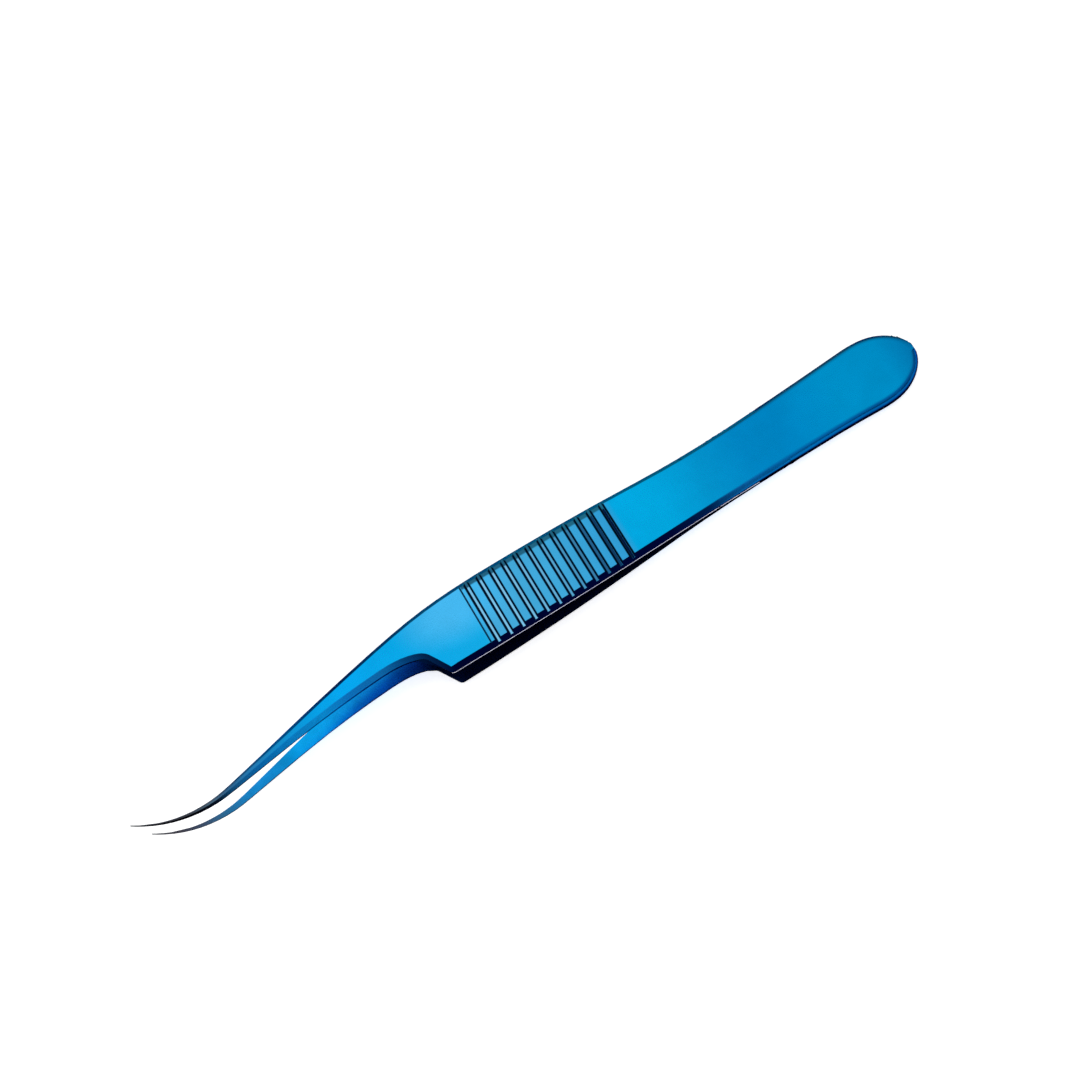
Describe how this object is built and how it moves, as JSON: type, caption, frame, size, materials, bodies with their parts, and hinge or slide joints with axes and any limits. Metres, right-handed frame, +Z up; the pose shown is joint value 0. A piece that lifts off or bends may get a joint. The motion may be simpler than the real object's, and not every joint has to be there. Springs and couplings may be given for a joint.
{
  "type": "hair transplant forceps",
  "caption": "Curved micro forceps: two blue anodised spring arms joined at a rounded tail, ribbed grips, a stepped shoulder and fine curved needle tips for placing hair grafts",
  "frame": {"origin": "on the table under the middle of the tool, which lies on the bow of its lower arm and the end of its tail", "axes": "+X from the needle tips to the tail, +Y away from the shoulder step, +Z up"},
  "size_m": [0.1206, 0.011, 0.0096],
  "materials": {
    "blue_titanium": "satin",
    "weld_seam": "satin"
  },
  "bodies": {
    "tail": {"tail_weld": "weld_seam"},
    "upper_spring_arm": {"upper_arm": "blue_titanium"},
    "lower_spring_arm": {"lower_arm": "blue_titanium"}
  },
  "joints": [
    {"name": "upper_arm_squeeze", "type": "hinge", "parent": "tail", "child": "upper_spring_arm", "pos_m": [0.03379, 0.00024, 0.00223], "axis": [0, -1, 0], "range_deg": [0, 2.25], "stiffness_Nm_per_rad": 0.6},
    {"name": "lower_arm_squeeze", "type": "hinge", "parent": "tail", "child": "lower_spring_arm", "pos_m": [0.03379, 0.00024, 0.00223], "axis": [0, 1, 0], "range_deg": [0, 2.25], "stiffness_Nm_per_rad": 0.6}
  ],
  "couplings": [
    {"joint": "lower_arm_squeeze", "follows": "upper_arm_squeeze", "ratio": 1}
  ]
}
